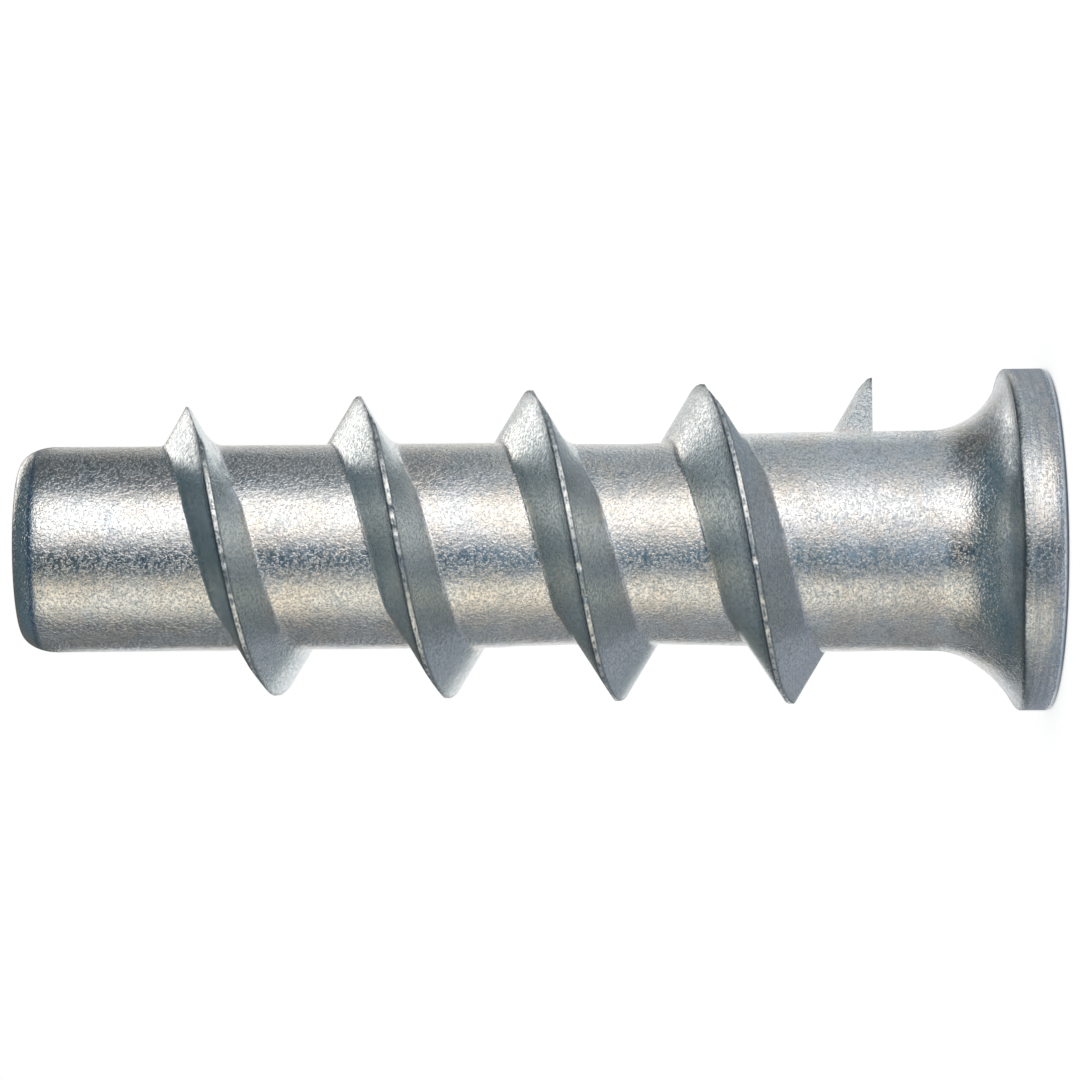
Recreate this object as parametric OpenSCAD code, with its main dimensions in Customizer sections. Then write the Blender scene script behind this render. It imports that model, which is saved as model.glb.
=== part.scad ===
// Screw-in anchor for aerated concrete: one zinc die casting with a coarse
// helical flight, a round flange and a blind M8 threaded hole.
// Z runs along the anchor. The flange's outer face is at z = 0, the tip points
// up, and the two halves of the casting die met in the XZ plane.
// The fine M8 thread isn't drawn: the hole has the thread's inner diameter.

/* [Shank] */
// Length over everything, from the flange face to the tip
anchor_len = 60; // [45:0.5:90]
// Outside diameter of the shank near the tip
shank_d = 12; // [11.4:0.1:13]
// Outside diameter at the waist, where the shank is thinnest
waist_d = 11.7; // [11:0.1:12.4]
// Height of the waist above the flange face
waist_z = 24; // [21:0.5:29]
// Height at which the shank has its full diameter again
shank_z = 32; // [30:0.5:38]
// Outside diameter of the collar between the flight and the flange
collar_d = 12.9; // [12:0.1:13.6]
// Height at which the collar starts to narrow towards the waist
collar_z = 13.5; // [12:0.5:18]

/* [Tip] */
// Radius of the rounded edge round the tip's end face
tip_round = 1.2; // [0.4:0.1:2]
// Length of the slight lead-in cone behind the rounded edge
tip_lead = 1.3; // [0.5:0.1:3]
// How far the lead-in cone is drawn in, measured on the radius
tip_draw_in = 0.15; // [0.05:0.05:0.5]

/* [Flange] */
// Diameter of the flange
flange_d = 20; // [19:0.1:26]
// Height of the straight rim
rim_h = 2.5; // [1.5:0.1:4]
// Radius of the hollow neck between rim and collar
neck_r = 4.5; // [4:0.1:6]
// Radius of the rounded edge round the outer face
face_round = 0.5; // [0.1:0.05:0.8]

/* [Flight] */
// Lead of the helix: one turn of the flight climbs this much
pitch = 10.05; // [8:0.05:12]
// Height of the flat shoulder where the flight stops short of the flange
shoulder_z = 10.15; // [9.6:0.05:12]
// Length of the tip above the place where the flight starts to fade
tip_bare = 9.75; // [6:0.25:16]
// Crest diameter at the flange end
crest_d_head = 19.24; // [16:0.02:20]
// Crest diameter at the tip end
crest_d_tip = 17.12; // [15:0.02:19]
// Width of the narrow land along the crest
crest_land = 0.25; // [0.1:0.05:0.6]
// Angle between each flank and a plane across the anchor
flank_angle = 30; // [22:0.5:36]
// Size of the flare where the flanks run into the shank
root_flare = 0.35; // [0.15:0.05:0.6]
// Angle over which the flight fades out at the tip end
fade_angle = 67.5; // [30:7.5:120]
// Share of the undercut that the front half of the die takes off the flanks
parting_relief = 0.8; // [0:0.05:1]

/* [Threaded hole] */
// Inner diameter of the M8 thread
bore_d = 6.65; // [5:0.05:7]
// Solid length left between the hole's full diameter and the tip
end_wall = 10; // [5:0.5:30]
// Diameter of the countersink at the mouth
mouth_d = 8.8; // [7.2:0.1:10]
// Included angle of the countersink and of the cone at the end of the hole
cone_angle = 118; // [90:1:140]

/* [Hidden] */
zinc = [0.62, 0.65, 0.66];
$fn = 96;

shank_r = shank_d / 2;
waist_r = waist_d / 2;
collar_r = collar_d / 2;
rim_r = flange_d / 2;
bore_r = bore_d / 2;
mouth_r = mouth_d / 2;

// The neck's arc touches the collar at neck_z and comes down to the rim's top edge
neck_centre_r = collar_r + neck_r;
neck_reach = max(0, neck_centre_r - rim_r);
neck_z = rim_h + sqrt(neck_r * neck_r - neck_reach * neck_reach);

// The hole stops short of the tip by end_wall
bore_depth = anchor_len - end_wall;
cone_slope = 1 / tan(cone_angle / 2);

// The flight's crest passes just under the shoulder, where its end face lies
flight_z = shoulder_z - 0.1;
lead = pitch / (2 * PI);
full_angle = 360 * (anchor_len - tip_bare - flight_z) / pitch;
sweep_angle = full_angle + fade_angle;
steps_per_turn = 48;
flight_steps = ceil(sweep_angle * steps_per_turn / 360);
flank_slope = tan(flank_angle);
flare_slope = 0.55;
buried = 0.6;
seam_turn = 100;

function mix(a, b, t) = a + (b - a) * t;
function clamp01(t) = min(1, max(0, t));

// Radius of the shank at a height, where the flight stands on it
function shank_at(z) =
    z <= collar_z ? collar_r :
    z <= waist_z ? mix(collar_r, waist_r, (z - collar_z) / (waist_z - collar_z)) :
    z <= shank_z ? mix(waist_r, shank_r, (z - waist_z) / (shank_z - waist_z)) :
    shank_r;

// Height of the crest, and its radius with the fade at the tip end
function crest_z(a) = flight_z + pitch * a / 360;
function full_crest_r(a) = mix(crest_d_head, crest_d_tip, a / full_angle) / 2;
function fade(a) = clamp01((a - full_angle) / fade_angle);
function crest_r(a) = mix(full_crest_r(min(a, full_angle)), shank_at(crest_z(a)) - buried / 3, fade(a));

// Half the width of the flight at a radius
function half_width(a, r) = crest_land / 2 + flank_slope * max(0, crest_r(a) - r);

// The flanks run into the shank by a flare, which starts at this radius
function foot_r(a) =
    let (core = shank_at(crest_z(a)))
    min(core + root_flare, mix(core - buried, crest_r(a), 0.45));

// One side of a cross-section: four radii from inside the shank out, and half a width at each
function section_r(a) =
    let (foot = foot_r(a), top = crest_r(a))
    [shank_at(crest_z(a)) - buried, foot, mix(foot, top, 0.5), top];
function section_w(a, r, i) =
    i == 0 ? half_width(a, r[1]) + (flank_slope + flare_slope) * (r[1] - r[0]) : half_width(a, r[i]);

// A flank that leans under the parting plane is cut back by the front half of the die.
// This is how far, at a radius and an angle from that plane.
function undercut(r, d) = min(0, flank_slope * r * (1 - cos(d)) - lead * d * PI / 180);
function relief(r, d, i) = max(parting_relief * undercut(r, d), i < 3 ? -pitch : -0.4 * crest_land);
function tip_relief(a, r, i) =
    let (p = a % 360)
    p > 180 && p < 270 ? relief(r, p - 180, i) : 0;
function head_relief(a, r, i) =
    let (p = a % 360)
    p > 270 ? relief(r, 360 - p, i) : 0;

function ring_point(a, r, z) = [r * cos(a), r * sin(a), z];
function tip_point(a, r, i) =
    ring_point(a, r[i], crest_z(a) + section_w(a, r, i) + tip_relief(a, r[i], i));
function head_point(a, r, i) =
    ring_point(a, r[i], crest_z(a) - section_w(a, r, i) - head_relief(a, r[i], i));
function ring(a) =
    let (r = section_r(a))
    [for (i = [0:3]) tip_point(a, r, i), for (i = [3:-1:0]) head_point(a, r, i)];

module swept_flight() {
    sides = 8;
    points = [for (s = [0:flight_steps]) each ring(sweep_angle * s / flight_steps)];
    last = flight_steps * sides;
    walls = [
        for (s = [0:flight_steps - 1], i = [0:sides - 1])
            let (j = (i + 1) % sides, p = s * sides, q = p + sides)
            each [[p + i, q + j, p + j], [p + i, q + i, q + j]]
    ];
    first_cap = [for (i = [0:sides - 1]) i];
    last_cap = [for (i = [sides - 1:-1:0]) last + i];
    polyhedron(points = points, faces = concat([first_cap], walls, [last_cap]), convexity = 10);
}

// The flight stops square at the shoulder, and its end face lies in the parting plane
module flight() {
    difference() {
        swept_flight();
        cylinder(r = flange_d, h = shoulder_z);
    }
}

// Half outline of the shank, from the collar to the tip
module shank_outline() {
    nose_z = anchor_len - tip_round;
    nose_r = shank_r - tip_draw_in;
    polygon([
        [0, 0],
        [collar_r, 0],
        [collar_r, collar_z],
        [waist_r, waist_z],
        [shank_r, shank_z],
        [shank_r, nose_z - tip_lead],
        [nose_r, nose_z],
        [0, nose_z]
    ]);
    translate([0, nose_z]) square([nose_r - tip_round, tip_round]);
    intersection() {
        translate([nose_r - tip_round, nose_z]) circle(r = tip_round);
        translate([nose_r - tip_round, nose_z]) square(tip_round);
    }
}

// Half outline of the flange with its hollow neck
module flange_outline() {
    difference() {
        union() {
            translate([0, face_round]) square([rim_r, neck_z - face_round]);
            square([rim_r - face_round, neck_z]);
            translate([rim_r - face_round, face_round]) circle(r = face_round);
        }
        translate([neck_centre_r, neck_z]) circle(r = neck_r);
        translate([neck_centre_r, rim_h]) square([rim_r, neck_z]);
    }
}

// The outline is closed at seam_turn, away from the end face of the flight
module body() {
    rotate([0, 0, seam_turn]) rotate_extrude() union() {
        shank_outline();
        flange_outline();
    }
}

module hole() {
    overrun = 1;
    tip_h = bore_r * cone_slope;
    sink_h = (mouth_r - bore_r) * cone_slope;
    translate([0, 0, -overrun]) cylinder(r = bore_r, h = bore_depth + overrun);
    translate([0, 0, bore_depth]) cylinder(r1 = bore_r, r2 = 0, h = tip_h);
    translate([0, 0, -overrun])
        cylinder(r1 = mouth_r + overrun / cone_slope, r2 = bore_r, h = sink_h + overrun);
}

module anchor() {
    color(zinc) difference() {
        union() {
            body();
            flight();
        }
        hole();
    }
}

anchor();
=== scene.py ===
"""Looks of a screw-in anchor for aerated concrete, a bare zinc die casting.

The casting is one mesh in the place of the CAD solid. Its outer surface is a
radius for each angle and height: shank, neck and flange are turned shapes, and
the flight follows its helix. The M8 thread is cut into the wall of the hole.
All sizes are in millimetres and are turned to metres when the mesh is written.
"""

import logging
import math
from dataclasses import dataclass
from typing import Any

import bmesh
import bpy
import numpy as np
from mathutils import Matrix, Vector


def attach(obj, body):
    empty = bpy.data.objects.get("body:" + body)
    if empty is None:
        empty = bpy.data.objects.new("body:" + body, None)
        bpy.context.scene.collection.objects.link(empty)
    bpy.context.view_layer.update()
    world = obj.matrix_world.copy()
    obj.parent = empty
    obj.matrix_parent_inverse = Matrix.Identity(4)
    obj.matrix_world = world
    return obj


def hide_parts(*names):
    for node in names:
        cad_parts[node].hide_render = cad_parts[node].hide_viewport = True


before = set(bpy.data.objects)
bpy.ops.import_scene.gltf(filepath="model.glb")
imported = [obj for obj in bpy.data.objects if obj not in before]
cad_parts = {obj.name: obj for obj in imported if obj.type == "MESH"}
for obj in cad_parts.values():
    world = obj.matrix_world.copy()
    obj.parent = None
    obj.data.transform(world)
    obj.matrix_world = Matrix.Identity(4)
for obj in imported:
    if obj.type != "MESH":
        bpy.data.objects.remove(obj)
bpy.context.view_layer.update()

MM = 0.001
FULL_TURN = 2 * math.pi
MIDDLE = 0.03  # height of the tent's level in metres
log = logging.getLogger("anchor")

Array = np.ndarray
Outline = tuple[tuple[float, float], ...]


def linear(hex_colour: str) -> tuple[float, float, float, float]:
    """Turns an sRGB colour into the linear colour that shaders take.

    Args:
        hex_colour: Six hexadecimal digits, with or without a leading #.

    Returns:
        Linear red, green, blue and an alpha of 1.
    """
    digits = hex_colour.lstrip("#")
    parts = [int(digits[i : i + 2], 16) / 255 for i in (0, 2, 4)]
    red, green, blue = (
        c / 12.92 if c <= 0.04045 else ((c + 0.055) / 1.055) ** 2.4 for c in parts
    )
    return red, green, blue, 1.0


def add_node(
    tree: bpy.types.NodeTree,
    kind: str,
    inputs: dict[str | int, Any] | None = None,
    **settings: Any,
) -> bpy.types.Node:
    """Adds a node with its settings, values and links.

    Args:
        tree: The node tree that gets the node.
        kind: The node's type name in Blender.
        inputs: A value or an output socket for each input, by name or place.
        **settings: Properties of the node itself.

    Returns:
        The new node.
    """
    node = tree.nodes.new(kind)
    for name, value in settings.items():
        setattr(node, name, value)
    for name, value in (inputs or {}).items():
        if isinstance(value, bpy.types.NodeSocket):
            tree.links.new(value, node.inputs[name])
        else:
            node.inputs[name].default_value = value
    return node


def fresh_tree(owner: bpy.types.Material | bpy.types.World) -> bpy.types.NodeTree:
    """Turns on the nodes of a material or world and clears them.

    Args:
        owner: The material or world.

    Returns:
        Its empty node tree.
    """
    owner.use_nodes = True
    owner.node_tree.nodes.clear()
    return owner.node_tree


def place_mesh(mesh: bpy.types.Mesh) -> bpy.types.Object:
    """Puts a mesh into the scene.

    Args:
        mesh: The mesh.

    Returns:
        An object of the same name, linked to the scene.
    """
    item = bpy.data.objects.new(mesh.name, mesh)
    bpy.context.scene.collection.objects.link(item)
    return item


def smooth_step(x: Array, low: float, high: float) -> Array:
    """Rises smoothly from 0 at low to 1 at high."""
    t = np.clip((x - low) / (high - low), 0.0, 1.0)
    return t * t * (3 - 2 * t)


def hump(x: Array, width: float) -> Array:
    """1 where x is 0, falling smoothly to nothing over about twice the width."""
    return np.exp(-((x / width) ** 2))


def smooth_max(a: Array, b: Array, blend: Array | float) -> Array:
    """The larger of two values, rounded where they differ by less than blend."""
    near = np.clip(1 - np.abs(a - b) / blend, 0, 1)
    return np.maximum(a, b) + near * near * blend / 4


@dataclass(frozen=True)
class Waves:
    """Soft unevenness made of seeded sine waves over a surface.

    Args:
        seed: Seed of the random directions and phases.
        length: Typical wave length in millimetres.
        count: Number of waves that are added up.
    """

    SPREAD = (0.6, 1.8)  # shortest and longest wave as shares of the length

    seed: int
    length: float
    count: int = 28

    def at(self, x: Array, y: Array, z: Array) -> Array:
        """Height of the unevenness at points.

        Args:
            x: Place of each point across, in millimetres.
            y: Place in depth, in millimetres.
            z: Height in millimetres.

        Returns:
            A height for each point, mostly between -1 and 1.
        """
        rng = np.random.default_rng(self.seed)
        total = np.zeros_like(x, dtype=float)
        for _ in range(self.count):
            direction = rng.normal(size=3)
            direction /= np.linalg.norm(direction)
            wave = FULL_TURN / (self.length * rng.uniform(*self.SPREAD))
            phase = rng.uniform(0, FULL_TURN)
            total += np.sin(
                wave * (direction[0] * x + direction[1] * y + direction[2] * z) + phase
            )
        return total / math.sqrt(self.count)


@dataclass(frozen=True)
class Turned:
    """The turned shapes of the casting: shank, collar, neck, flange and tip, in millimetres."""

    # How many rings each part of the outline has, and the radii of those on the end face
    FACE_RINGS, ROUND_RINGS, RIM_RINGS, NECK_RINGS, TIP_RINGS = 5, 6, 7, 18, 22
    END_RINGS = (3.4, 2.2, 0.9)

    length: float = 60.0
    shank_r: float = 6.0
    collar_r: float = 6.45
    waist: Outline = (
        (0, 6.36), (10, 6.3), (17, 6.1), (24, 5.86), (27.5, 5.88), (31, 5.92), (32, 6.0), (60, 6.0)
    )
    collar_taper: Outline = ((0, 6.45), (12.6, 6.45), (19.0, 6.37), (30.0, 6.3))
    flange_r: float = 10.0
    rim_h: float = 2.5
    neck_r: float = 4.5
    face_round: float = 0.3
    rim_edge: float = 0.12
    rim_thin: float = 0.67
    nose_in: float = 1.25
    nose_h: float = 2.1
    rim_rise: float = 0.1
    slant_r: float = 7.2
    slant_bend: float = 1.3
    bore_mouth_r: float = 4.4
    mouth_face: float = 0.25

    @property
    def face_r(self) -> float:
        """Radius at which the flat face begins, outside the narrow ring round the mouth."""
        return self.bore_mouth_r + self.mouth_face

    @property
    def neck_z(self) -> float:
        """Height at which the neck's hollow arc meets the collar."""
        reach = self.collar_r + self.neck_r - self.flange_r
        return self.rim_h + math.sqrt(self.neck_r**2 - reach**2)

    def shank(self, z: Array) -> Array:
        """Radius of the shank at heights, drawn in at its waist."""
        return np.interp(z, *zip(*self.waist))

    def collar(self, z: Array) -> Array:
        """Radius of the collar at heights, where the flight's first turn keeps it."""
        return np.interp(z, *zip(*self.collar_taper))

    def flange_profile(self) -> list[tuple[float, float]]:
        """Outline of face, rim and neck, from the hole's mouth out and up.

        Returns:
            Pairs of radius and height.
        """
        r, e = self.flange_r, self.face_round
        points = [(x, 0.0) for x in np.linspace(self.face_r, r - e, self.FACE_RINGS)]
        for turn in np.linspace(0, math.pi / 2, self.ROUND_RINGS)[1:]:
            points.append((r - e + e * math.sin(turn), e - e * math.cos(turn)))
        edge_z = self.rim_h - self.rim_edge
        points += [(r, z) for z in np.linspace(e, edge_z, self.RIM_RINGS)[1:]]
        points.append((r - 0.6 * self.rim_edge, self.rim_h))
        centre = self.collar_r + self.neck_r
        start = math.asin((self.neck_z - self.rim_h) / self.neck_r)
        for turn in np.linspace(start - 0.05, 0, self.NECK_RINGS):
            radius = centre - self.neck_r * math.cos(turn)
            points.append((radius, self.neck_z - self.neck_r * math.sin(turn)))
        return points

    def tip_profile(self, start: float) -> list[tuple[float, float]]:
        """Outline of the tip, up to the end face's middle.

        Args:
            start: Height at which the tip's plain part begins.

        Returns:
            Pairs of radius and height.
        """
        nose_z = self.length - self.nose_h
        points = [(self.shank_r, z) for z in np.linspace(start, nose_z, 5)[1:]]
        for turn in np.linspace(0, math.pi / 2, self.TIP_RINGS)[1:]:
            radius = self.shank_r - self.nose_in * (1 - math.cos(turn))
            points.append((radius, nose_z + self.nose_h * math.sin(turn)))
        points += [(r, self.length) for r in self.END_RINGS]
        return points

    def lowered(self, theta: Array, radius: Array | float, z: Array | float) -> Array:
        """Lowers the rim's back edge on the -X side, as cast.

        Args:
            theta: Angle of each point of flange or neck.
            radius: Radius of each point.
            z: Height of each point on an even flange.

        Returns:
            The height of each point.
        """
        side = np.cos(theta)
        drop = self.rim_thin * np.maximum(-side, 0) ** 3 - self.rim_rise * np.maximum(side, 0)
        outward = np.clip((radius - self.slant_r) / (self.flange_r - self.slant_r), 0, 1)
        return z - drop * outward**self.slant_bend * np.clip(z / self.rim_h, 0, 1)


@dataclass(frozen=True)
class Nick:
    """A dent in the crest of the flight.

    Args:
        angle: Place along the flight in degrees from its start.
        depth: Depth in millimetres.
        width: Width along the crest in millimetres.
    """

    angle: float
    depth: float
    width: float


@dataclass(frozen=True)
class Flight:
    """The coarse helical flight, right-handed, climbing from the flange to the tip.

    Angles along the flight are in radians and start at the square shoulder. In front, where
    the die's halves opened, the first turns' flanks are wider than a regular flight's.
    """

    lead: float = 10.05
    start_z: float = 10.05
    shoulder_z: float = 10.15
    end_angle: float = math.radians(1440)
    fade: float = math.radians(70)
    crest_r: float = 9.88
    crest_taper: float = 0.0262
    land: float = 0.25
    flank_slope: float = math.tan(math.radians(30))
    foot_blend: float = 0.24
    top_blend: float = 0.9
    relief: float = 0.85
    crest_swell: float = 0.2
    tip_swell: float = 0.15
    flange_swell: float = 0.1
    swell_begin: tuple[float, float] = (math.radians(182), math.radians(214))
    swell_end: tuple[float, float] = (math.radians(318), math.radians(356))
    swell_length: float = 14.0
    swell_inset: float = 0.6
    fade_early: float = 0.3
    fade_depth: float = 3.2
    wear_depth: float = 0.015
    wear_waves: tuple[tuple[float, Waves], ...] = ((0.022, Waves(11, 1.1)), (0.02, Waves(12, 0.4)))
    chip_depth: float = 0.09
    chip_span: tuple[float, float] = (0.05, 0.4)
    chip_waves: Waves = Waves(13, 0.7)
    mean_r: float = 9.5
    shoulder_reach: float = 0.55
    nicks: tuple[Nick, ...] = (
        Nick(1004.0, 0.16, 0.5),
        Nick(996.0, 0.10, 0.35),
        Nick(622.0, 0.12, 0.35),
        Nick(611.0, 0.10, 0.4),
        Nick(264.0, 0.12, 0.4),
        Nick(241.0, 0.10, 0.3),
        Nick(1345.0, 0.08, 0.4),
        Nick(655.0, 0.08, 0.3),
    )

    def swell(self, angle: Array) -> Array:
        """How much the flight is swollen in front, most in its first turn.

        Args:
            angle: Angle along the flight.

        Returns:
            From 0 at the die's parting planes to 1 in front.
        """
        theta = angle % FULL_TURN
        front = smooth_step(theta, *self.swell_begin) * (1 - smooth_step(theta, *self.swell_end))
        return front * np.clip(1 - (angle - 1.5 * math.pi) / self.swell_length, 0, 1)

    def crest_z(self, angle: Array) -> Array:
        """Height of the crest at an angle along the flight."""
        return self.start_z + self.lead * angle / FULL_TURN + self.crest_swell * self.swell(angle)

    def slope(self, angle: Array, side: Array | int) -> Array:
        """Tangent of the flank's angle, on the tip side where side is above 0."""
        wider = np.where(np.asarray(side) > 0, self.tip_swell, self.flange_swell)
        return self.flank_slope * (1 + wider * self.swell(angle))

    def crest_radius(self, angle: Array) -> Array:
        """Radius of the crest before wear, with the fade at the tip end."""
        past = smooth_step(angle, self.end_angle - self.fade_early, self.end_angle + self.fade)
        return self.crest_r - self.crest_taper * self.crest_z(angle) - self.fade_depth * past

    def wear(self, angle: Array) -> Array:
        """How much the crest has lost to handling and nicks.

        Args:
            angle: Angle along the flight.

        Returns:
            Millimetres taken off the crest's radius.
        """
        length, lost = angle * self.mean_r, self.wear_depth
        for depth, waves in self.wear_waves:
            lost = lost + depth * np.abs(waves.at(length, 0 * angle, 0 * angle))
        for nick in self.nicks:
            along = (angle - math.radians(nick.angle)) * self.mean_r
            lost = lost + nick.depth * hump(along, 0.5 * nick.width)
        return lost

    def radius_from(self, angle: Array, theta: Array, z: Array) -> Array:
        """Radius of one turn's surface at points, before the shank is taken into account.

        Args:
            angle: Angle along the flight at each point.
            theta: The same angle within its turn, from 0 to a full turn.
            z: Height of each point.

        Returns:
            The radius, which is small away from this turn.
        """
        offset = z - self.crest_z(angle)
        half = self.land / 2
        crest = self.crest_radius(angle)
        radius = crest - np.maximum(np.abs(offset) - half, 0) / self.slope(angle, offset)
        # The front half of the die has cut the flanks off square where they would hold it
        for plane, side, reach in ((math.pi, 1, 1), (FULL_TURN, -1, -1)):
            turn = theta - plane
            inside = (turn * reach > 0) & (turn * reach < math.pi / 2)
            plane_angle = angle - turn
            inner = plane_angle + self.swell_inset * reach
            plane_offset = z - self.crest_z(plane_angle) - self.crest_swell * self.swell(inner)
            beyond = np.maximum(np.abs(plane_offset) - half, 0) / self.slope(inner, side)
            limit = (self.crest_radius(plane_angle) - beyond) / np.maximum(np.cos(turn), 0.05)
            cut = inside & (plane_offset * side > 0) & (limit < radius)
            radius = np.where(cut, radius + self.relief * (limit - radius), radius)
        chips = (1 - smooth_step(angle, *self.chip_span)) * (offset > half)
        broken = np.abs(self.chip_waves.at(4 * angle, 0 * angle, z))
        radius = radius - self.chip_depth * chips * broken
        radius = np.minimum(radius, crest - self.wear(angle))
        return np.where((angle < 0) | (angle > self.end_angle + self.fade), 0.0, radius)


@dataclass(frozen=True)
class Thread:
    """The M8 thread in the blind hole, with the drilled end behind it."""

    FORM = (0.0, 0.25, 0.5625, 0.6875)

    pitch: float = 1.25
    minor_r: float = 3.325
    major_r: float = 4.0
    hole_end: float = 50.0
    thread_end: float = 46.0
    run_out: float = 1.5
    sink_r: float = 4.4
    cone_slope: float = math.tan(math.radians(59))
    columns: int = 60

    def radius(self, theta: Array, z: Array) -> Array:
        """Radius of the hole's wall.

        Args:
            theta: Angle of each point.
            z: Height of each point.

        Returns:
            The radius at each point.
        """
        along = (z / self.pitch - theta / FULL_TURN) % 1.0
        groove = np.interp(along, (*self.FORM, 1.0), (0, 0, 1, 1, 0))
        fade = 1 - smooth_step(z, self.thread_end - self.run_out, self.thread_end)
        wall = self.minor_r + (self.major_r - self.minor_r) * groove * fade
        sink = self.sink_r - z * self.cone_slope
        return np.maximum(wall, sink)


class MeshBuffer:
    """Collects rings and strips of points and writes them as one closed mesh."""

    def __init__(self) -> None:
        """Starts with no points and no faces."""
        self.points: list[Array] = []
        self.faces: list[tuple[int, ...]] = []
        self.count = 0

    def add(self, points: Array) -> int:
        """Adds points.

        Args:
            points: Array whose last axis holds the three coordinates.

        Returns:
            Index of the first point added.
        """
        start = self.count
        self.points.append(points.reshape(-1, 3))
        self.count += len(self.points[-1])
        return start

    def add_grid(self, points: Array, closed: bool) -> None:
        """Adds a sheet of faces over rows and columns of points.

        Args:
            points: Array of rows, columns and the three coordinates.
            closed: Whether the last column joins the first.
        """
        rows, columns = points.shape[:2]
        start = self.add(points)
        last = columns if closed else columns - 1
        for i in range(rows - 1):
            low = start + i * columns
            for j in range(last):
                k = (j + 1) % columns
                self.faces.append((low + j, low + k, low + columns + k, low + columns + j))

    def close(self, count: int, height: float) -> None:
        """Closes the last ring with faces that meet in a point on the axis.

        Args:
            count: Number of points in the ring.
            height: Height of the point on the axis.
        """
        last = self.count - count
        centre = self.add(np.array([[0.0, 0.0, height]]))
        self.faces += [(last + j, last + (j + 1) % count, centre) for j in range(count)]

    def write(self, name: str, merge: float) -> bpy.types.Object:
        """Makes the object, with points that lie together merged into one.

        Args:
            name: Name of the object.
            merge: Distance in metres below which points are merged.

        Returns:
            The object, linked to the scene.
        """
        points = np.vstack(self.points) * MM
        mesh = bpy.data.meshes.new(name)
        mesh.from_pydata(points.tolist(), [], self.faces)
        shape = bmesh.new()
        shape.from_mesh(mesh)
        bmesh.ops.remove_doubles(shape, verts=shape.verts, dist=merge)
        bmesh.ops.dissolve_degenerate(shape, edges=shape.edges, dist=merge)
        bmesh.ops.recalc_face_normals(shape, faces=shape.faces)
        shape.to_mesh(mesh)
        shape.free()
        mesh.update()
        return place_mesh(mesh)


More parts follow.
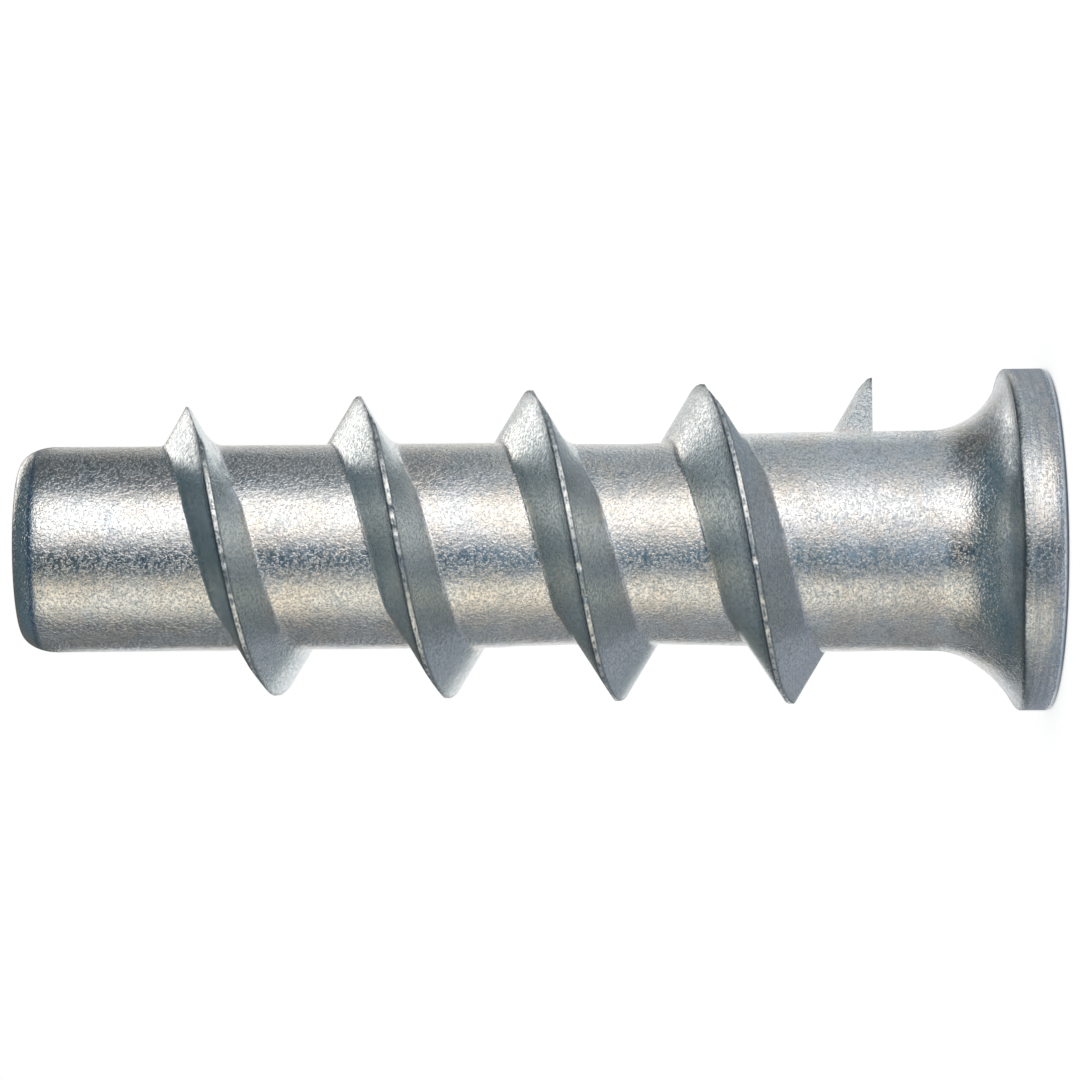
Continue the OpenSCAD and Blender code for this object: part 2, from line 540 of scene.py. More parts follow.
@dataclass(frozen=True)
class AnchorCasting:
    """The whole casting: turned body, flight and threaded hole in one closed mesh."""

    COLUMNS = 360
    CAP_LEVELS = 6
    TURNS = 5
    TOP = 54.0
    MERGE = 2.0e-6
    SHARP = math.radians(34)
    COLLAR_FADE = (0.1, math.pi)
    # The cast skin begins outside the hole and is fully wavy from the second radius on
    SKIN_R, WAVY_R = 4.7, 5.4
    SKIN_WAVES = ((0.010, Waves(21, 5.5)), (0.004, Waves(22, 1.6)))
    # Rows of points on each side of the crest, on the collar and in the drilled end
    LAND_ROWS = (0.05, 0.1, 0.14, 0.19, 0.24)
    FLANK_ROWS = (0.18, 0.38, 0.58, 0.79, 1.0)
    FOOT_ROWS = (-0.11, -0.05, 0.01, 0.07, 0.14, 0.26, 0.5)
    GAP_ROWS = (0.33, 0.67)
    FOOT_GAP = 0.18
    LEAST_RISE = 0.7
    FOOT_OFFSET = 2.2
    COLLAR_ROWS = (7.6, 8.4, 9.2)
    DRILL_ROWS = (0.35, 0.7, 0.94)
    # Where the marks for the finish set in, as heights over the shank and under the crest
    FLANK_RISE, UPPER_FLANK, CREST_TOP = (0.12, 0.45), (-0.75, -0.35), (-0.3, -0.1)
    # The same by radius on neck and rim, by height on the nose and, counted down, at the face,
    # where the dark and the blue mark are painted shade under the flange's outer edge
    NECK_SPAN, RIM_SPAN, NOSE_SPAN = (7.4, 9.0), (9.7, 9.95), (58.9, 59.15)
    DARK_FACE, BLUE_FACE = (-0.22, -0.08), (-0.42, -0.12)
    # Widths of the narrow marks, and place, width and strength of the crest's two edges, which are
    # dark lines of painted shade
    CREST_WIDTH, FOOT_WIDTH, RIM_WIDTH, NOSE_WIDTH = 0.06, 0.1, 0.11, 0.15
    CREST_EDGES = ((0.17, 0.085, 1.0), (-0.15, 0.055, 0.7))
    NOSE_EDGE = 58.91

    body: Turned = Turned()
    flight: Flight = Flight()
    thread: Thread = Thread()

    @property
    def low(self) -> float:
        """Height at which the flight begins."""
        return self.flight.shoulder_z

    def core(self, theta: Array, z: Array) -> Array:
        """Radius of the shank under the flight, with the collar's edge along the first turn.

        Args:
            theta: Angle of each point.
            z: Height of each point.

        Returns:
            The radius at each point.
        """
        thin = self.body.shank(z)
        collar = self.body.collar(z)
        crest = self.flight.crest_z(theta)
        run_out = 1 - smooth_step(theta, *self.COLLAR_FADE)
        above = np.where(z < crest + self.flight.lead, run_out, 0.0)
        share = np.where(z < crest, 1.0, above)
        return thin + (np.maximum(collar, thin) - thin) * share

    def outer(self, theta: Array, z: Array) -> Array:
        """Radius of the outer surface between the shoulder and the tip.

        Args:
            theta: Angle of each point.
            z: Height of each point.

        Returns:
            The radius at each point.
        """
        flight, radius = self.flight, np.zeros_like(z)
        for turn in range(self.TURNS):
            radius = np.maximum(radius, flight.radius_from(theta + FULL_TURN * turn, theta, z))
        below = (flight.crest_z(theta) - z) % flight.lead < flight.lead / 2
        near = hump(np.minimum(theta, FULL_TURN - theta), flight.shoulder_reach)
        blend = flight.foot_blend + flight.top_blend * near * below
        return smooth_max(radius, self.core(theta, z), blend)

    def row_heights(self, theta: Array) -> Array:
        """Heights of the rows of points that follow the helix, close together at crest and feet.

        Args:
            theta: Angle of each column.

        Returns:
            Heights as rows and columns, held between the shoulder and the tip.
        """
        flight, rows = self.flight, []
        for turn in range(-1, self.TURNS + 1):
            angle = theta + FULL_TURN * turn
            crest_z = flight.crest_z(angle)
            below, above = (self.side_rows(theta, angle, side) for side in (-1, 1))
            rows.append(crest_z - flight.lead / 2)
            rows += [crest_z - offset for offset in reversed(below)]
            rows.append(crest_z)
            rows += [crest_z + offset for offset in above]
        return np.clip(np.array(rows), self.low, self.TOP)

    def side_rows(self, theta: Array, angle: Array, side: int) -> list[Array]:
        """Distances of the rows on one side of the crest, close together at land and foot.

        Args:
            theta: Angle of each column.
            angle: The same angle counted along the flight.
            side: -1 for the flange side, 1 for the tip side.

        Returns:
            Distances from the crest, rising.
        """
        flight = self.flight
        root_r = self.core(theta, flight.crest_z(angle) + self.FOOT_OFFSET * side)
        rise = np.maximum(flight.crest_radius(angle) - root_r, self.LEAST_RISE)
        foot = flight.land / 2 + flight.slope(angle, side) * rise
        land, past = self.LAND_ROWS[-1], self.FOOT_ROWS[-1]
        rows = [0 * foot + x for x in self.LAND_ROWS]
        rows += [land + (foot - land - self.FOOT_GAP) * x for x in self.FLANK_ROWS]
        rows += [foot + x for x in self.FOOT_ROWS]
        gap = flight.lead / 2 - foot - past
        return rows + [foot + past + gap * x for x in self.GAP_ROWS]

    def build(self) -> bpy.types.Object:
        """Makes the casting's mesh and its surface attributes.

        Returns:
            The casting, linked to the scene.
        """
        buffer = MeshBuffer()
        theta = np.linspace(0, FULL_TURN, self.COLUMNS + 1)
        self.add_flight_zone(buffer, theta)
        self.add_rings(buffer, theta[:-1])
        self.add_hole(buffer, theta[:-1])
        buffer.points = [self.uneven(np.vstack(buffer.points))]
        item = buffer.write("anchor_casting", self.MERGE)
        self.mark_surface(item.data)
        for polygon in item.data.polygons:
            polygon.use_smooth = True
        item.data.set_sharp_from_angle(angle=self.SHARP)
        return item

    @staticmethod
    def dress(casting: bpy.types.Object, metal: bpy.types.Material) -> None:
        """Gives the casting its metal and puts it in the place of the CAD solid.

        Args:
            casting: The casting.
            metal: Its material.
        """
        casting.data.materials.append(metal)
        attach(casting, "root")
        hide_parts("anchor")

    def uneven(self, points: Array) -> Array:
        """Adds the soft waviness of a cast skin outside the hole.

        Args:
            points: The casting's points.

        Returns:
            The points, moved by some hundredths of a millimetre.
        """
        x, y, z = points.T
        radius = np.hypot(x, y)
        wave = sum(height * waves.at(x, y, z) for height, waves in self.SKIN_WAVES)
        skin = smooth_step(radius, self.SKIN_R, self.WAVY_R)
        grow = 1 + wave * skin / np.maximum(radius, 1)
        return np.stack([x * grow, y * grow, z], axis=-1)

    @staticmethod
    def on_cylinder(theta: Array, radius: Array | float, z: Array | float) -> Array:
        """Points at angles, with one radius and height or one for each angle."""
        height = np.broadcast_to(z, theta.shape)
        return np.stack([radius * np.cos(theta), radius * np.sin(theta), height], axis=-1)

    def add_flight_zone(self, buffer: MeshBuffer, theta: Array) -> None:
        """Adds shank and flight, the flat shoulder and the flat end face of the flight.

        Args:
            buffer: Takes the points and faces.
            theta: Angles of the columns, with the full turn at the end.
        """
        z = self.row_heights(theta)
        angles = np.broadcast_to(theta, z.shape)
        radius = self.outer(angles, z)
        buffer.add_grid(self.on_cylinder(angles, radius, z), closed=False)
        levels = np.linspace(0, 1, self.CAP_LEVELS)
        inner = self.body.collar_r
        outer = self.outer(theta, np.full_like(theta, self.low))
        ring = [self.on_cylinder(theta, inner + (outer - inner) * t, self.low) for t in levels]
        buffer.add_grid(np.stack(ring), closed=False)
        period = z.shape[0] // (self.TURNS + 2)
        begin, end = radius[period:, 0], radius[:-period, -1]
        height = z[period:, 0]
        cap = [
            np.stack([end + (begin - end) * t, 0 * height, height], axis=-1) for t in levels
        ]
        buffer.add_grid(np.stack(cap), closed=False)

    def add_rings(self, buffer: MeshBuffer, theta: Array) -> None:
        """Adds the flange, the neck and the collar below the flight, and the tip above it.

        Args:
            buffer: Takes the points and faces.
            theta: Angles of the columns, without the full turn.
        """
        body = self.body
        below = body.flange_profile()
        below += [(body.collar_r, z) for z in (*self.COLLAR_ROWS, self.low)]
        above = [(body.shank_r, self.TOP), *body.tip_profile(self.TOP)]
        for profile in (below, above):
            rings = []
            for r, z in profile:
                height = body.lowered(theta, r, z) if z < body.neck_z else z
                rings.append(self.on_cylinder(theta, r, height))
            buffer.add_grid(np.stack(rings), closed=True)
        buffer.close(len(theta), body.length)

    def add_hole(self, buffer: MeshBuffer, theta: Array) -> None:
        """Adds the threaded wall, the drilled end and the narrow face round the mouth.

        Args:
            buffer: Takes the points and faces.
            theta: Angles of the flange's columns, without the full turn.
        """
        thread, rim = self.thread, len(theta)
        columns = thread.columns
        around = np.linspace(0, FULL_TURN, columns + 1)
        rows = []
        for turn in range(-1, int(thread.thread_end / thread.pitch) + 2):
            base = thread.pitch * (turn + around / FULL_TURN)
            rows += [base + thread.pitch * x for x in thread.FORM]
        z = np.clip(np.array(rows), 0.0, thread.thread_end)
        angles = np.broadcast_to(around, z.shape)
        buffer.add_grid(self.on_cylinder(angles, thread.radius(angles, z), z), closed=False)
        around = around[:-1]
        drill = [(thread.minor_r, thread.thread_end), (thread.minor_r, thread.hole_end)]
        depth = thread.minor_r / thread.cone_slope
        for t in self.DRILL_ROWS:
            drill.append((thread.minor_r * (1 - t), thread.hole_end + depth * t))
        rings = [self.on_cylinder(around, radius, height) for radius, height in drill]
        buffer.add_grid(np.stack(rings), closed=True)
        buffer.close(columns, thread.hole_end + depth)
        mouth = buffer.add(self.on_cylinder(around, thread.sink_r, 0.0))
        face = buffer.add(self.on_cylinder(theta, self.body.face_r, 0.0))
        share = rim // columns
        for j in range(columns):
            for i in range(share):
                k = j * share + i
                buffer.faces.append((mouth + j, face + k, face + (k + 1) % rim))
            end = face + (j + 1) * share % rim
            buffer.faces.append((mouth + j, end, mouth + (j + 1) % columns))

    def mark_surface(self, mesh: bpy.types.Mesh) -> None:
        """Stores where flanks, crest, edges, feet, rim, nose and neck are, for the finish,
        including the painted shade along edges and under the flange and the painted highlight along
        the tip-side foot.

        Args:
            mesh: The casting's mesh, which gets one attribute for each mark.
        """
        co = np.zeros(len(mesh.vertices) * 3)
        mesh.vertices.foreach_get("co", co)
        x, y, z = (co.reshape(-1, 3) / MM).T
        theta = np.arctan2(y, x) % FULL_TURN
        radius = np.hypot(x, y)
        core = self.core(theta, z)
        outside = (radius > self.SKIN_R) & (z > self.low - 0.01) & (z < self.TOP)
        flank = smooth_step(radius - core, *self.FLANK_RISE) * outside
        turn = np.round((z - self.flight.crest_z(theta)) / self.flight.lead)
        turn = np.clip(turn, 0, self.TURNS - 1)
        angle = theta + FULL_TURN * turn
        offset = z - self.flight.crest_z(angle)
        crest = self.flight.crest_radius(angle)
        near_top = smooth_step(radius - crest, *self.UPPER_FLANK) * flank
        top = smooth_step(radius - crest, *self.CREST_TOP) * flank
        back_edge = self.body.lowered(theta, self.body.flange_r, self.body.rim_h)
        # Painted shade: dark lines on both sides of the crest, stronger on the tip side
        crest_edges = sum(share * hump(offset - at, width) for at, width, share in self.CREST_EDGES)
        # Painted shade: a dark line along the rim's top edge
        rim_edge = 0.8 * hump(z - back_edge, self.RIM_WIDTH) * (radius > 9.6)
        # Painted shade: dark under the flange's outer edge, next to the floor
        face_edge = smooth_step(-z, *self.DARK_FACE) * (radius > 9.5)
        # Painted shade: bluish and wider, under the flange's outer edge
        blue_face = 0.6 * smooth_step(-z, *self.BLUE_FACE) * (radius > 9)
        nose_edge = hump(z - self.NOSE_EDGE, self.NOSE_WIDTH) * (radius > 5)
        neck_height = (z > back_edge - 0.05) * (z < self.body.neck_z)
        # Painted highlight: a cream line along the foot, used on the tip side only
        foot = hump(radius - core - self.FOOT_WIDTH, self.FOOT_WIDTH)
        marks = {
            "flank": flank,
            "crest": hump(offset, self.CREST_WIDTH) * top,
            # Painted shade along the crest's edges, the rim's top edge and under the flange
            "painted_edge_shade": crest_edges * near_top + rim_edge + face_edge,
            "lit_foot": foot * outside * (offset > 0),
            "rim": smooth_step(radius, *self.RIM_SPAN) * (z < self.body.rim_h + 0.1),
            "nose": smooth_step(z, *self.NOSE_SPAN),
            "neck": smooth_step(radius, *self.NECK_SPAN) * neck_height,
            # Blue line round the nose, and bluish painted shade under the flange
            "blue_edge": nose_edge + blue_face,
        }
        for name, values in marks.items():
            layer = mesh.attributes.new(name, "FLOAT", "POINT")
            layer.data.foreach_set("value", np.clip(values, 0, 1).astype(np.float32))


@dataclass(frozen=True)
class Pattern:
    """Noise over the casting, with patches of a real size, and how strong it gets.

    Args:
        size_mm: Size of its patches in millimetres.
        detail: Number of finer levels.
        rough: Strength of the finer levels.
        span: Values between which it sets in, or None for the noise as it is.
        ends: Strength at the two ends of the span.
        drawn: Whether its patches are drawn out round the rim.
    """

    DRAWN = (0.06, 0.06, 1.0)

    size_mm: float
    detail: float
    rough: float
    span: tuple[float, float] | None = None
    ends: tuple[float, float] = (0.0, 1.0)
    drawn: bool = False

    def add(self, tree: bpy.types.NodeTree, place: Any) -> bpy.types.NodeSocket:
        """Adds the pattern's nodes.

        Args:
            tree: The material's node tree.
            place: Place on the casting.

        Returns:
            The pattern's strength.
        """
        if self.drawn:
            stretch = {"Vector": place, "Scale": self.DRAWN}
            place = add_node(tree, "ShaderNodeMapping", stretch).outputs["Vector"]
        sizes = {"Scale": 1 / (self.size_mm * MM), "Detail": self.detail, "Roughness": self.rough}
        noise = add_node(tree, "ShaderNodeTexNoise", {"Vector": place, **sizes}).outputs["Fac"]
        if self.span is None:
            return noise
        names = ("From Min", "From Max", "To Min", "To Max")
        ends = dict(zip(names, (*self.span, *self.ends)))
        return add_node(tree, "ShaderNodeMapRange", {"Value": noise, **ends}).outputs["Result"]


@dataclass(frozen=True)
class ZincDieCasting:
    """Bare zinc alloy as it leaves the die: satin grey metal with a fine orange peel.

    The skin mirrors its surroundings softly. Low spots are darker and bluer where oil and
    oxide have stayed, the flanks are duller than the shank, and the crest is worn bright in
    places, where its cream tint is also a painted highlight, with dark lines of painted shade
    beside it. A cream line along the tip-side foot is a painted highlight, dark painted shade
    runs along the rim's top edge, and dark and bluish painted shade lies under the flange's
    outer edge. The patterns are about as large as on the real skin.
    Only pits and specks, finer than 0.1 mm there, are drawn coarser, so that they show.
    """

    name: str = "zinc_die_casting"
    clean: str = "#e4e6e6"
    oxide: str = "#a3b4bc"
    warm: str = "#e6e1d8"
    flank: str = "#e2e9e8"
    speck: str = "#93a4ac"
    # Cream of the worn crest, also used for painted highlights on the crest and the foot
    rubbed_and_highlight: str = "#dedcd5"
    # Dark blue of dirt in the crest's breaks and of the painted shade along edges
    dirt_and_edge_shade: str = "#2b3a49"
    blue: str = "#35688f"
    skin: str = "#8c918b"
    flank_roughness: float = 0.25
    crest_roughness: float = 0.42
    stains: Pattern = Pattern(3.2, 4, 0.6, (0.42, 0.62))
    clouds: Pattern = Pattern(1.1, 5, 0.7, (0.5, 0.72), (0, 0.55))
    specks: Pattern = Pattern(0.13, 2, 0.6, (0.48, 0.66), (0, 0.62))
    spots: Pattern = Pattern(0.19, 3, 0.7, (0.5, 0.64), (0, 0.6))
    streaks: Pattern = Pattern(0.3, 3, 0.6, (0.42, 0.6), (0, 0.5), drawn=True)
    breaks: Pattern = Pattern(0.35, 3, 0.6, (0.42, 0.52), (0.8, 0))
    # Patches on the crest that are worn and carry a painted highlight's cream tint
    rubbing_and_highlight: Pattern = Pattern(0.35, 3, 0.6, (0.47, 0.58), (0, 0.9))
    sheen: Pattern = Pattern(0.66, 3, 0.5, (0.35, 0.65), (0.12, 0.2))
    peel: Pattern = Pattern(0.12, 3, 0.6)
    pits: Pattern = Pattern(0.19, 2, 0.6, (0.5, 0.62))
    grain: Pattern = Pattern(0.45, 2, 0.5)
    grooves: Pattern = Pattern(0.3, 3, 0.6, drawn=True)
    heights_mm: tuple[float, float, float, float] = (0.014, 0.013, 0.02, 0.03)

    def build(self) -> bpy.types.Material:
        """Makes the material.

        Returns:
            The finished material.
        """
        material = bpy.data.materials.new(self.name)
        tree = fresh_tree(material)
        place = add_node(tree, "ShaderNodeTexCoord").outputs["Object"]
        colour = self.colour(tree, place)
        gloss, relief = self.gloss(tree, place), self.relief(tree, place)
        inputs = {"Metallic": 1.0, "Base Color": colour, "Roughness": gloss, "Normal": relief}
        shader = add_node(tree, "ShaderNodeBsdfPrincipled", inputs)
        add_node(tree, "ShaderNodeOutputMaterial", {"Surface": shader.outputs[0]})
        return material

    @staticmethod
    def at_mark(tree: bpy.types.NodeTree, name: str, share: Any) -> bpy.types.NodeSocket:
        """Keeps a share only where the casting's surface carries a mark.

        Args:
            tree: The material's node tree.
            name: Name of the mark.
            share: The share where the mark is full.

        Returns:
            The share, which is nothing where there is no mark.
        """
        mark = add_node(tree, "ShaderNodeAttribute", attribute_name=name).outputs["Fac"]
        kept = add_node(tree, "ShaderNodeMath", {0: mark, 1: share}, operation="MULTIPLY")
        return kept.outputs[0]

    def colour(self, tree: bpy.types.NodeTree, place: Any) -> bpy.types.NodeSocket:
        """Stains, clouds, specks, worn edges and painted light as one colour: a painted highlight
        on the crest and along the foot, and painted shade along edges and under the flange.

        Args:
            tree: The material's node tree.
            place: Place on the casting.

        Returns:
            The colour.
        """
        layers = (
            (None, self.stains, self.warm),
            (None, self.clouds, self.oxide),
            ("flank", 0.8, self.flank),
            (None, self.specks, self.speck),
            ("flank", self.spots, self.speck),
            ("rim", self.streaks, self.oxide),
            # Painted highlight: a cream line along the tip-side foot
            ("lit_foot", 0.5, self.rubbed_and_highlight),
            ("nose", 0.2, self.skin),
            ("neck", 0.45, self.oxide),
            # Blue line round the nose, and bluish painted shade under the flange
            ("blue_edge", 0.75, self.blue),
            # Painted shade: dark lines beside the crest, along the rim's top edge and under the
            # flange
            ("painted_edge_shade", 0.9, self.dirt_and_edge_shade),
            ("crest", self.breaks, self.dirt_and_edge_shade),
            # Worn crest patches whose cream tint is also a painted highlight
            ("crest", self.rubbing_and_highlight, self.rubbed_and_highlight),
        )
        tone: Any = linear(self.clean)
        for name, share, colour in layers:
            if isinstance(share, Pattern):
                share = share.add(tree, place)
            if name is not None:
                share = self.at_mark(tree, name, share)
            inputs = {"Factor": share, 6: tone, 7: linear(colour)}
            tone = add_node(tree, "ShaderNodeMix", inputs, data_type="RGBA").outputs[2]
        return tone

    def gloss(self, tree: bpy.types.NodeTree, place: Any) -> bpy.types.NodeSocket:
        """Roughness that changes from patch to patch and is higher on flanks and crest.

        Args:
            tree: The material's node tree.
            place: Place on the casting.

        Returns:
            The roughness.
        """
        rough = self.sheen.add(tree, place)
        for name, least in (("flank", self.flank_roughness), ("crest", self.crest_roughness)):
            pair = {0: rough, 1: self.at_mark(tree, name, least)}
            rough = add_node(tree, "ShaderNodeMath", pair, operation="MAXIMUM").outputs[0]
        return rough

    def relief(self, tree: bpy.types.NodeTree, place: Any) -> bpy.types.NodeSocket:
        """Orange peel, pits and grain, calmer on the flanks, with grooves round the rim.

        Args:
            tree: The material's node tree.
            place: Place on the casting.

        Returns:
            The bent normal.
        """
        ends = {"Value": self.at_mark(tree, "flank", 1.0), "To Min": 1.0, "To Max": 0.8}
        calm = add_node(tree, "ShaderNodeMapRange", ends).outputs["Result"]
        rim = self.at_mark(tree, "rim", 1.0)
        layers = ((calm, self.peel), (calm, self.pits), (calm, self.grain), (rim, self.grooves))
        normal: dict[str, Any] = {}
        for (strength, pattern), height_mm in zip(layers, self.heights_mm):
            inputs = {"Strength": strength, "Distance": height_mm * MM, **normal}
            inputs["Height"] = pattern.add(tree, place)
            normal = {"Normal": add_node(tree, "ShaderNodeBump", inputs).outputs["Normal"]}
        return normal["Normal"]


@dataclass(frozen=True)
class Stop:
    """The tent's brightness in one direction, where 1 is white paper.

    Args:
        side: Angle in degrees round the anchor from the camera towards +X.
        tone: Colour of the light.
        high: Brightness above the level.
        low: Brightness below the level, the same where it isn't given.
    """

    side: float
    tone: str
    high: float
    low: float | None = None

    def level(self, rise: float) -> float:
        """Brightness between low, where rise is 0, and high, where it is 1."""
        low = self.high if self.low is None else self.low
        return low + (self.high - low) * rise


def dome(low: float, high: float, reach: float = 0.3) -> Outline:
    """Outline of a round wall between two angles above the level in degrees."""
    lifts = np.radians(np.linspace(low, high, max(3, int((high - low) / 4))))
    return tuple((reach * math.cos(a), MIDDLE + reach * math.sin(a)) for a in lifts)


@dataclass(frozen=True)
class Card:
    """A wall of the light tent, seen only in the metal's reflections.

    Args:
        name: Name of the wall.
        outline: Distances from the anchor's axis and heights in metres, from low to high.
        stops: How bright the wall is from side to side.
        rim_r: Radius in metres of the rim that mirrors the wall close by.
        change: Angles above the level in degrees between which low turns into high.
    """

    name: str
    outline: Outline
    stops: tuple[Stop, ...]
    rim_r: float = 0.0
    change: tuple[float, float] = (0.5, 6)

    def point(self, side: float, reach: float, height: float) -> tuple[float, float, float]:
        """Finds a point of the wall, which stands aside as far as the rim's mirror image asks.

        Args:
            side: Angle in degrees round the anchor.
            reach: Distance from the anchor's axis in metres.
            height: Height in metres.

        Returns:
            The point in metres.
        """
        turn = math.radians(side)
        half = turn / 2
        aside = self.rim_r * math.cos(half)
        return (
            (reach - aside) * math.sin(turn) + self.rim_r * math.sin(half),
            -(reach - aside) * math.cos(turn) - self.rim_r * math.cos(half),
            height,
        )

    def light(self, side: float, reach: float, height: float) -> tuple[float, ...]:
        """Finds the wall's light at a point.

        Args:
            side: Angle in degrees round the anchor.
            reach: Distance from the anchor's axis in metres.
            height: Height in metres.

        Returns:
            Red, green, blue and an alpha of 1.
        """
        sides = [stop.side for stop in self.stops]
        lift = math.degrees(math.atan2(height - MIDDLE, reach))
        rise = float(smooth_step(np.float64(lift), *self.change))
        levels = [stop.level(rise) for stop in self.stops]
        level = np.interp(side, sides, levels)
        tones = [linear(stop.tone)[:3] for stop in self.stops]
        red, green, blue = (float(np.interp(side, sides, tone) * level) for tone in zip(*tones))
        return red, green, blue, 1.0

    def build(self) -> bpy.types.Object:
        """Makes the wall and its glow.

        Returns:
            The wall, linked to the scene.
        """
        first, last = self.stops[0].side, self.stops[-1].side
        across = np.linspace(first, last, max(3, int((last - first) / 2)))
        places = [(side, *place) for place in self.outline for side in across]
        columns = len(across)
        faces = [
            (i * columns + j, i * columns + j + 1, (i + 1) * columns + j + 1, (i + 1) * columns + j)
            for i in range(len(self.outline) - 1)
            for j in range(columns - 1)
        ]
        mesh = bpy.data.meshes.new(self.name)
        mesh.from_pydata([self.point(*place) for place in places], [], faces)
        layer = mesh.color_attributes.new("glow", "FLOAT_COLOR", "POINT")
        for item, place in zip(layer.data, places):
            item.color = self.light(*place)
        card = place_mesh(mesh)
        material = bpy.data.materials.new(self.name)
        tree = fresh_tree(material)
        glow = add_node(tree, "ShaderNodeAttribute", attribute_name="glow")
        light = add_node(tree, "ShaderNodeEmission", {"Color": glow.outputs["Color"]})
        add_node(tree, "ShaderNodeOutputMaterial", {"Surface": light.outputs[0]})
        mesh.materials.append(material)
        for ray in ("camera", "diffuse", "shadow", "transmission"):
            setattr(card, f"visible_{ray}", False)
        return card


@dataclass(frozen=True)
class Studio:
    """White ground and background, a light tent round the anchor, and the camera.

    The tent's walls are what the metal mirrors: a large soft light beside the camera, a
    weaker warm one on the other side, grey gaps between them and a grey roof. A grey mat
    lies round the foot, with low strips on it that carry the walls' light to the rim.
    """

    FRONT = (
        Stop(-150, "#f0f8ff", 0.14, 0.28),
        Stop(-112, "#f0f8ff", 0.28, 0.42),
        Stop(-98, "#f0f8ff", 0.16, 0.42),
        Stop(-88, "#f4f9ff", 0.30, 0.46),
        Stop(-78, "#fff9ee", 0.66, 0.56),
        Stop(-66, "#fff8ea", 1.20, 1.15),
        Stop(-48, "#fff6e8", 1.05, 1.34),
        Stop(-38, "#fff9ec", 0.62, 0.66),
        Stop(-29, "#dceeff", 0.24, 0.32),
        Stop(-20, "#b4dfff", 0.11, 0.30),
        Stop(-8, "#b4dfff", 0.10, 0.46),
        Stop(-1, "#d4eaff", 0.18, 0.56),
        Stop(7, "#fffbfa", 0.64, 0.74),
        Stop(14, "#fff9f7", 1.15, 0.98),
        Stop(22, "#fff9f7", 1.65, 1.36),
        Stop(30, "#fff9f6", 2.05, 1.60),
        Stop(50, "#fff9f6", 1.90, 1.45),
        Stop(59, "#fff9f6", 1.10, 1.00),
        Stop(66, "#f4f9ff", 0.44, 0.70),
        Stop(76, "#ecf6ff", 0.22, 0.60),
        Stop(95, "#ecf6ff", 0.15, 0.54),
        Stop(134, "#ecf6ff", 0.14, 0.54),
    )
    FLOOR = (
        Stop(-150, "#f0f8ff", 0.28, 0.25),
        Stop(-118, "#f0f8ff", 0.41, 0.35),
        Stop(-103, "#f0f8ff", 0.42, 0.36),
        Stop(-91, "#f4f9ff", 0.45, 0.42),
        Stop(-81, "#fbfaf8", 0.52, 0.44),
        Stop(-72, "#fff9ee", 0.85, 0.58),
        Stop(-63, "#fff8ea", 1.20, 0.95),
        Stop(-54, "#fff6e8", 1.28, 1.02),
        Stop(-45, "#fff8ec", 1.10, 0.62),
        Stop(-36, "#f4f9ff", 0.60, 0.26),
        Stop(-28, "#c4e6ff", 0.33, 0.22),
        Stop(-20, "#b4dfff", 0.30, 0.36),
        Stop(-11, "#c4e6ff", 0.42, 0.56),
        Stop(-3, "#e4f2ff", 0.52, 0.86),
        Stop(5, "#fffbfa", 0.78, 1.12),
        Stop(14, "#fff9f7", 0.98, 1.20),
        Stop(22, "#fff9f7", 1.36, 1.50),
        Stop(30, "#fff9f6", 1.60, 2.00),
        Stop(38, "#fff9f6", 1.55, 2.10),
        Stop(47, "#fff9f6", 1.60, 2.10),
        Stop(56, "#fff9f6", 1.15, 1.40),
        Stop(65, "#f9fafc", 0.72, 0.92),
        Stop(75, "#f4f9ff", 0.60, 0.84),
        Stop(86, "#f0f7ff", 0.57, 0.82),
        Stop(99, "#ecf6ff", 0.54, 0.62),
        Stop(134, "#ecf6ff", 0.54, 0.56),
    )
    STRIP = (
        Stop(-150, "#f0f8ff", 0.15),
        Stop(-100, "#f0f8ff", 0.21),
        Stop(-88, "#f4f9ff", 0.28),
        Stop(-70, "#fff9ee", 0.60),
        Stop(-50, "#fff8ea", 0.70),
        Stop(-38, "#fff9ec", 0.45),
        Stop(-26, "#dceeff", 0.23),
        Stop(-8, "#b4dfff", 0.16),
        Stop(0, "#e4f2ff", 0.28),
        Stop(8, "#fffbfa", 0.82),
        Stop(15, "#fff9f7", 1.32),
        Stop(30, "#fff9f6", 1.72),
        Stop(50, "#fff9f6", 1.72),
        Stop(60, "#fff9f6", 1.00),
        Stop(68, "#f4f9ff", 0.72),
        Stop(80, "#f0f7ff", 0.66),
        Stop(134, "#f0f7ff", 0.62),
    )
    MAT = (
        Stop(-180, "#ecf1ff", 0.4),
        Stop(-110, "#ecf1ff", 0.45),
        Stop(-40, "#e8f0ff", 0.47),
        Stop(40, "#e8f0ff", 0.47),
        Stop(110, "#e6f0ff", 0.45),
        Stop(180, "#e6f0ff", 0.41),
    )
    MAT_BACK = (Stop(120, "#e6f6ff", 0.42), Stop(180, "#e6f6ff", 0.36), Stop(240, "#e6f6ff", 0.3))
    BACK_LOW = (Stop(168, "#fff0dc", 0.16), Stop(214, "#e8fbff", 0.18))
    BACK_MID = (Stop(150, "#f2faff", 0.3), Stop(168, "#f2faff", 0.35))
    BACK_HIGH = (
        Stop(134, "#f2faff", 0.3, 0.62),
        Stop(144, "#fbf9f6", 0.5, 0.75),
        Stop(153, "#fbf9f6", 0.8, 1.0),
        Stop(168, "#fbf9f6", 0.9, 1.0),
    )
    WHITE = (1.0, 1.0, 1.0, 1.0)

    rim_r: float = 0.01
    paper_glow: float = 0.62
    plain_light: float = 0.5

    @staticmethod
    def even(
        name: str, outline: Outline, sides: tuple[float, float], tone: str, glow: float
    ) -> Card:
        """A wall that is as bright all over."""
        return Card(name, outline, tuple(Stop(side, tone, glow) for side in sides))

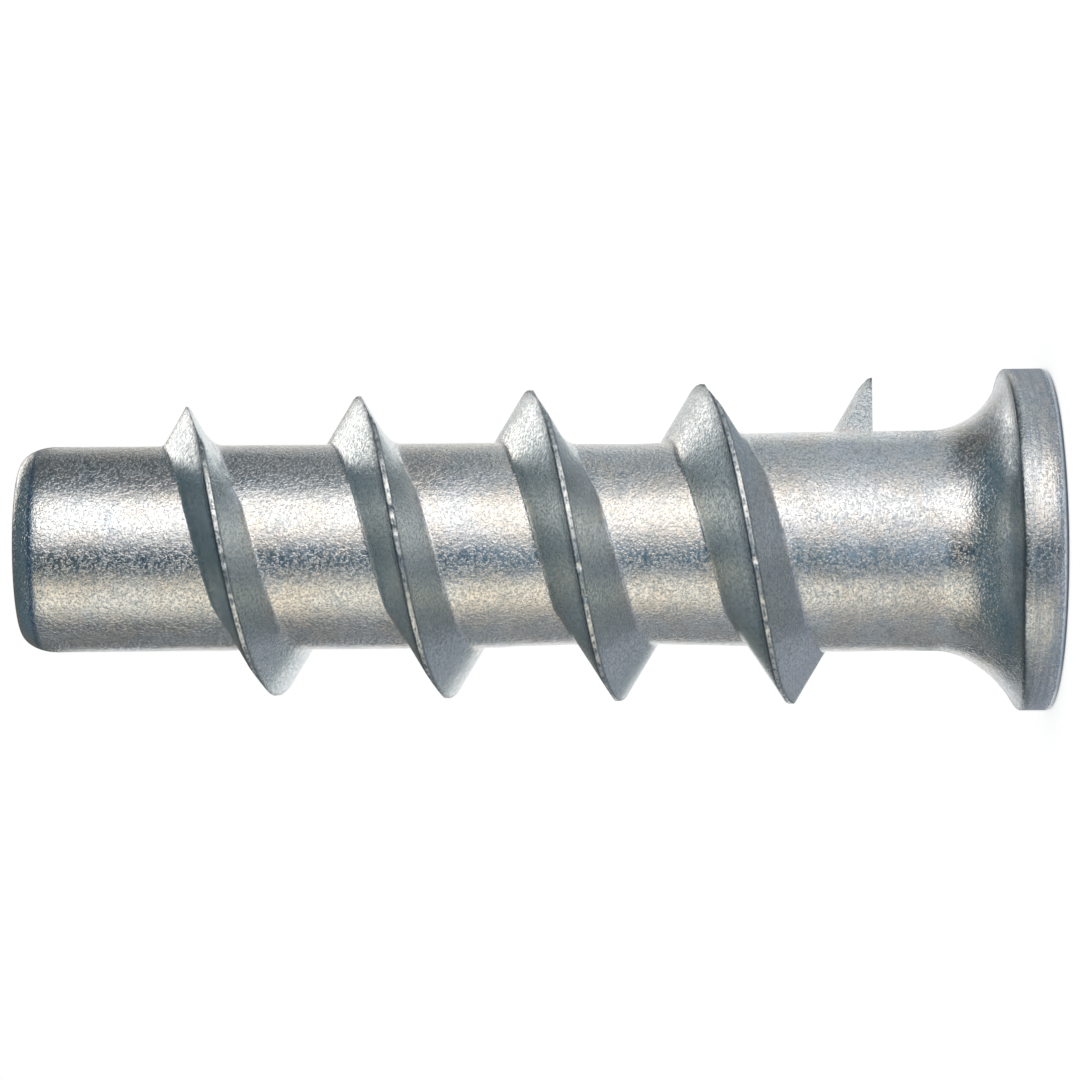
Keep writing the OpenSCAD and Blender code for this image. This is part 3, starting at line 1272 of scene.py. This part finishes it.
    def walls(self) -> list[Card]:
        """Lists the walls, the roof, the mat and the low strips.

        Returns:
            One card for each of them, none of them made yet.
        """
        floor = tuple((reach, 0.0006) for reach in (0.052, 0.08, 0.12, 0.2, 0.29))
        mat = tuple((reach, 0.0002) for reach in (0.0102, 0.024, 0.056))
        walls = [
            Card("tent_floor", floor, self.FLOOR, self.rim_r, (-14, -6)),
            Card("tent_front", dome(-6, 35), self.FRONT, self.rim_r),
            self.even("tent_roof", dome(34, 60), (-150, 150), "#c0e8ff", 0.21),
            self.even("tent_top", dome(58, 89.5, 0.29), (-180, 180), "#c8ecff", 0.2),
            Card("tent_back_low", dome(12, 60), self.BACK_LOW),
            self.even("tent_light", dome(22, 55), (136, 168), "#fff9f6", 1.95),
            Card("tent_back_high", dome(-5, 14), self.BACK_HIGH),
            Card("tent_back_mid", dome(14, 22), self.BACK_MID),
            self.even("tent_back_side", dome(14, 35, 0.29), (133, 151), "#eef8ff", 0.24),
            Card("tent_mat", mat, self.MAT),
            Card("tent_mat_back", ((0.04, 0.0004), (0.075, 0.0004)), self.MAT_BACK),
        ]
        for i, reach in enumerate(np.arange(0.012, 0.038, 0.004)):
            slant = ((reach + 0.00046, 0.0003), (reach, 0.0011))
            walls.append(Card(f"tent_strip_{i}", slant, self.STRIP, self.rim_r))
        return walls

    def build(self) -> None:
        """Makes the ground, the background and the light tent."""
        self.ground()
        self.background()
        for wall in self.walls():
            wall.build()
            log.info("tent wall %s", wall.name)

    @staticmethod
    def seen_directly(tree: bpy.types.NodeTree) -> bpy.types.NodeSocket:
        """Tells rays that see the white from rays that carry light.

        Args:
            tree: The node tree that asks.

        Returns:
            1 for rays from the camera, in reflections and through glass, otherwise 0.
        """
        rays = add_node(tree, "ShaderNodeLightPath").outputs
        seen = rays["Is Camera Ray"]
        for name in ("Is Glossy Ray", "Is Transmission Ray"):
            pair = {0: seen, 1: rays[name]}
            either = add_node(tree, "ShaderNodeMath", pair, operation="ADD", use_clamp=True)
            seen = either.outputs[0]
        return seen

    def ground(self) -> bpy.types.Object:
        """Lays white paper under the flange, which keeps a soft shadow.

        Returns:
            The floor, linked to the scene.
        """
        size = 6.0
        mesh = bpy.data.meshes.new("floor")
        corners = [(-size, -size, 0), (size, -size, 0), (size, size, 0), (-size, size, 0)]
        mesh.from_pydata(corners, [], [(0, 1, 2, 3)])
        floor = place_mesh(mesh)
        material = bpy.data.materials.new("white_paper")
        tree = fresh_tree(material)
        paper = add_node(tree, "ShaderNodeBsdfDiffuse", {"Color": linear("#f2f2f2")})
        shine = {"Color": self.WHITE, "Strength": self.paper_glow}
        glow = add_node(tree, "ShaderNodeEmission", shine)
        both = add_node(tree, "ShaderNodeAddShader", {0: paper.outputs[0], 1: glow.outputs[0]})
        shaders = {0: self.seen_directly(tree), 1: paper.outputs[0], 2: both.outputs[0]}
        mixed = add_node(tree, "ShaderNodeMixShader", shaders)
        add_node(tree, "ShaderNodeOutputMaterial", {"Surface": mixed.outputs[0]})
        mesh.materials.append(material)
        return floor

    def background(self) -> None:
        """White all round where it is seen, and plain light for what it shines on."""
        world = bpy.data.worlds.new("studio")
        bpy.context.scene.world = world
        tree = fresh_tree(world)
        plain, white = (
            add_node(tree, "ShaderNodeBackground", {"Color": self.WHITE, "Strength": strength})
            for strength in (self.plain_light, 1.0)
        )
        shaders = {0: self.seen_directly(tree), 1: plain.outputs[0], 2: white.outputs[0]}
        mixed = add_node(tree, "ShaderNodeMixShader", shaders)
        add_node(tree, "ShaderNodeOutputWorld", {"Surface": mixed.outputs[0]})


@dataclass(frozen=True)
class PhotoCamera:
    """The camera of the photograph, level with the anchor's middle and turned on its side.

    The anchor stands on its flange, so the picture's right is down. All in millimetres.
    """

    place: tuple[float, float, float] = (0.28, -231.4, 29.70)
    picture_slope: float = -0.01083
    focal: float = 131.7
    sensor: float = 36.0

    def build(self) -> bpy.types.Object:
        """Makes the camera and makes it the scene's.

        Returns:
            The camera, linked to the scene.
        """
        data = bpy.data.cameras.new("camera")
        data.sensor_width = self.sensor
        data.lens = self.focal
        data.clip_start = 0.01
        camera = bpy.data.objects.new("camera", data)
        bpy.context.scene.collection.objects.link(camera)
        turn = math.atan(self.picture_slope)
        right = Vector((math.sin(turn), 0, -math.cos(turn)))
        up = Vector((math.cos(turn), 0, math.sin(turn)))
        back = Vector((0, -1, 0))
        turned = Matrix((right, up, back)).transposed().to_4x4()
        camera.matrix_world = Matrix.Translation(Vector(self.place) * MM) @ turned
        bpy.context.scene.camera = camera
        return camera


def main() -> None:
    """Builds the camera, the studio and the casting."""
    logging.basicConfig(level=logging.INFO, format="%(name)s: %(message)s")
    bpy.context.scene.view_settings.view_transform = "Standard"
    PhotoCamera().build()
    Studio().build()
    anchor = AnchorCasting()
    casting = anchor.build()
    anchor.dress(casting, ZincDieCasting().build())
    log.info("casting: %d faces", len(casting.data.polygons))


if __name__ == "__main__":
    main()
